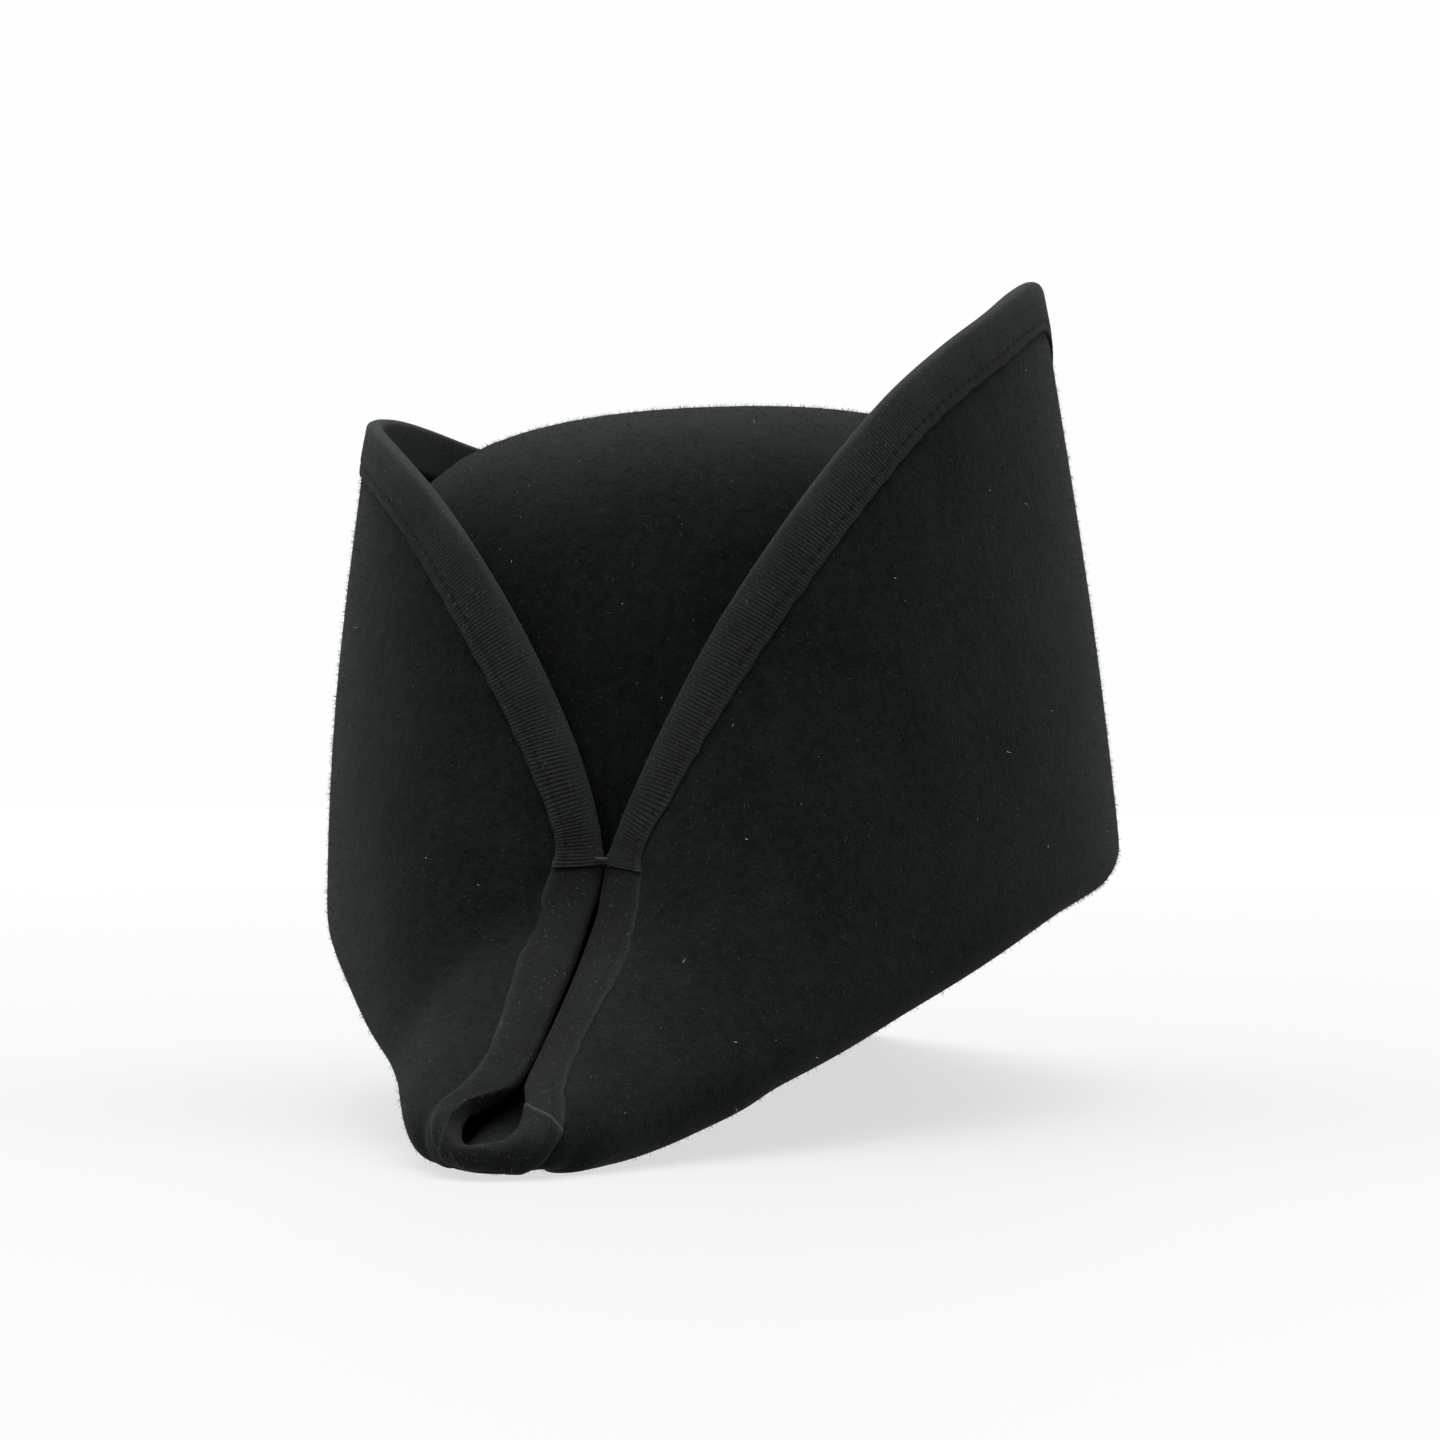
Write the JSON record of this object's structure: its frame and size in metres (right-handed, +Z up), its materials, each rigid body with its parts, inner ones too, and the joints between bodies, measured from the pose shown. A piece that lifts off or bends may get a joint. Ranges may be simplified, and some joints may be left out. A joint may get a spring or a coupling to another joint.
{
  "type": "bicorne hat",
  "caption": "Bicorne hat of felt with a low domed crown, a brim turned up in two flaps that close to pointed horns in front and behind, and ribbon bound edges.",
  "frame": {"origin": "on the ground under the middle of the hat's bounding box", "axes": "+Z up, -Y towards the front horn, +X towards the taller flap"},
  "size_m": [0.1862, 0.3988, 0.193],
  "materials": {
    "felt": "matte wool felt, near black",
    "ribbon": "matte ribbed ribbon, near black",
    "thread": "matte sewing thread, near black"
  },
  "bodies": {
    "root": {"felt_body": "felt", "right_flap_binding": "ribbon", "left_flap_binding": "ribbon", "front_horn_binding": "ribbon", "rear_horn_binding": "ribbon", "front_tack": "thread", "rear_tack": "thread"}
  },
  "joints": []
}
